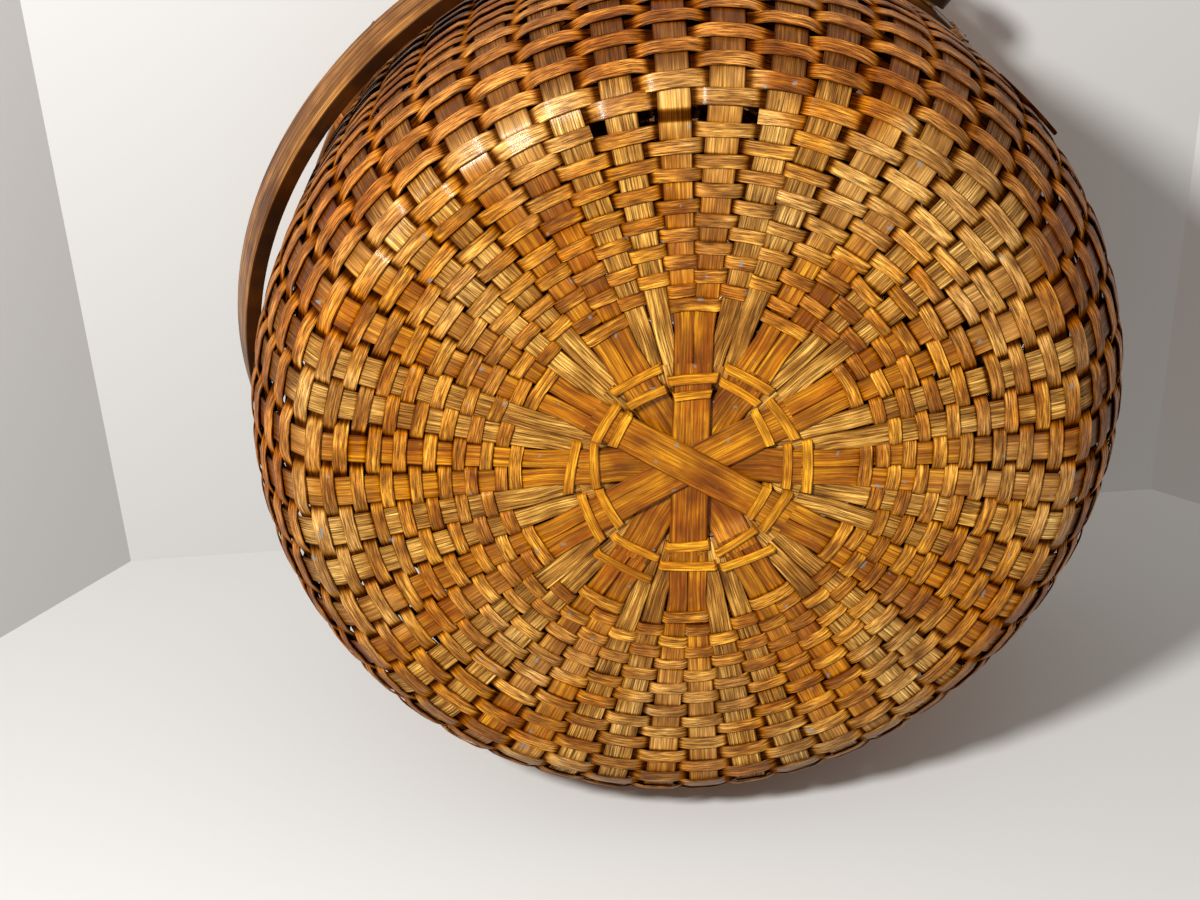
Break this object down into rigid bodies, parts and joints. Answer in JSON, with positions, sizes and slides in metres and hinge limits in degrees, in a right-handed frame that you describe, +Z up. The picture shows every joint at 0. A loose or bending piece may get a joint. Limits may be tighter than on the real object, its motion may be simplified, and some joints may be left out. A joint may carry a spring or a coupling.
{
  "type": "creel",
  "caption": "Round splint-woven creel with a flat base, a bulging side, a hinged domed lid with a hole, a swinging bentwood bail and a loop latch.",
  "frame": {"origin": "middle of the base, on the surface that the basket stands on", "axes": "+Z up; X along the bail's pivot axis; -Y towards the latch, +Y towards the lid's hinge"},
  "size_m": [0.3038, 0.3091, 0.1803],
  "materials": {
    "smooth_splint": "aged varnish, smooth face of the splint",
    "rough_splint": "aged varnish, coarse open grain",
    "base_weaver": "aged varnish, flat oval weaver",
    "side_weaver": "aged varnish, darkened",
    "lashing_splint": "aged varnish",
    "hoop_wood": "bent hoop, worn varnish",
    "bentwood": "steam-bent, worn varnish",
    "turned_wood": "turned, waxed",
    "brass": "tarnished"
  },
  "bodies": {
    "root": {"base_edge_row_1": "base_weaver", "base_edge_row_2": "base_weaver", "base_weave": "base_weaver", "bottom_side_weave": "side_weaver", "hinge_pin": "brass", "hub_binding_row_1": "base_weaver", "hub_binding_row_2": "base_weaver", "latch_keeper": "brass", "left_bail_pin": "brass", "left_bail_washer": "brass", "left_hinge_eye": "brass", "left_pin_burr": "brass", "lower_side_weave": "side_weaver", "middle_side_weave": "side_weaver", "right_bail_pin": "brass", "right_bail_washer": "brass", "right_hinge_eye": "brass", "right_pin_burr": "brass", "rim_filler": "hoop_wood", "rim_inner_hoop": "hoop_wood", "rim_lashing": "lashing_splint", "rim_outer_hoop": "hoop_wood", "rough_strip_1": "rough_splint", "rough_strip_2": "rough_splint", "rough_strip_3": "rough_splint", "rough_strip_4": "rough_splint", "rough_strip_5": "rough_splint", "rough_strip_6": "rough_splint", "smooth_strip_1": "smooth_splint", "smooth_strip_2": "smooth_splint", "smooth_strip_3": "smooth_splint", "smooth_strip_4": "smooth_splint", "smooth_strip_5": "smooth_splint", "smooth_strip_6": "smooth_splint", "upper_side_weave": "side_weaver"},
    "lid": {"lid_hinge_knuckle": "brass", "lid_inner_hoop": "hoop_wood", "lid_lashing": "lashing_splint", "lid_outer_hoop": "hoop_wood", "lid_stake_01": "rough_splint", "lid_stake_02": "rough_splint", "lid_stake_03": "rough_splint", "lid_stake_04": "rough_splint", "lid_stake_05": "rough_splint", "lid_stake_06": "rough_splint", "lid_stake_07": "rough_splint", "lid_stake_08": "rough_splint", "lid_stake_09": "rough_splint", "lid_stake_10": "rough_splint", "lid_stake_11": "rough_splint", "lid_stake_12": "rough_splint", "lid_weave": "side_weaver", "fish_hole_hoop": "hoop_wood", "latch_knob": "turned_wood"},
    "bail": {"bail_bow": "bentwood"},
    "latch": {"latch_loop": "brass"}
  },
  "joints": [
    {"name": "bail_swing", "type": "hinge", "parent": "root", "child": "bail", "pos_m": [0, 0, 0.148], "axis": [1, 0, 0], "range_deg": [0, 228]},
    {"name": "lid_hinge", "type": "hinge", "parent": "root", "child": "lid", "pos_m": [0, 0.14661, 0.156], "axis": [-1, 0, 0], "range_deg": [0, 105]},
    {"name": "latch_swing", "type": "hinge", "parent": "root", "child": "latch", "pos_m": [0, -0.14551, 0.149], "axis": [-1, 0, 0], "range_deg": [0, 180]}
  ]
}
